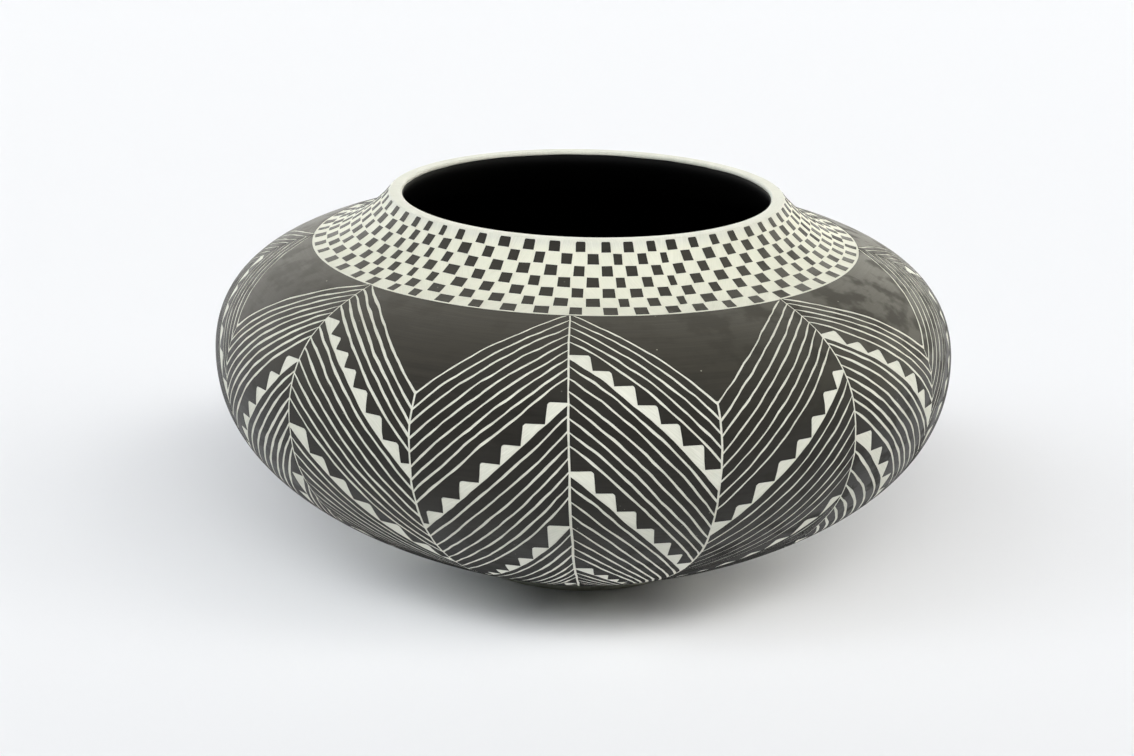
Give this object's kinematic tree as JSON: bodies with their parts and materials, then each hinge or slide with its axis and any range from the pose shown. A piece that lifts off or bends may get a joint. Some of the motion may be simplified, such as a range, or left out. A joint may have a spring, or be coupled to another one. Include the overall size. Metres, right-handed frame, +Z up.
{
  "type": "ceramic bowl",
  "caption": "Wide round-bellied porcelain bowl with a sloping collar, a narrow foot and a carved black slip pattern of checks, plain points and hatched chevrons.",
  "frame": {"origin": "centre of the foot's underside, on the surface the bowl stands on", "axes": "+Z up along the bowl's turning axis; -Y is the side seen in the picture, +X to its right"},
  "size_m": [0.2798, 0.2797, 0.144],
  "materials": {
    "porcelain": "fired ivory porcelain, burnished, faintly tooled where the slip is cut away",
    "black_slip": "burnished charcoal slip, soft sheen",
    "black_inside": "deep black inside coat, low sheen"
  },
  "bodies": {
    "root": {"porcelain_body": "porcelain", "inner_glaze": "black_inside", "collar_slip": "black_slip", "plain_field_1": "black_slip", "plain_field_2": "black_slip", "plain_field_3": "black_slip", "plain_field_4": "black_slip", "plain_field_5": "black_slip", "plain_field_6": "black_slip", "plain_field_7": "black_slip", "plain_field_8": "black_slip", "chevron_right_1": "black_slip", "chevron_left_1": "black_slip", "chevron_right_2": "black_slip", "chevron_left_2": "black_slip", "chevron_right_3": "black_slip", "chevron_left_3": "black_slip", "chevron_right_4": "black_slip", "chevron_left_4": "black_slip", "chevron_right_5": "black_slip", "chevron_left_5": "black_slip", "chevron_right_6": "black_slip", "chevron_left_6": "black_slip", "chevron_right_7": "black_slip", "chevron_left_7": "black_slip", "chevron_right_8": "black_slip", "chevron_left_8": "black_slip"}
  },
  "joints": []
}
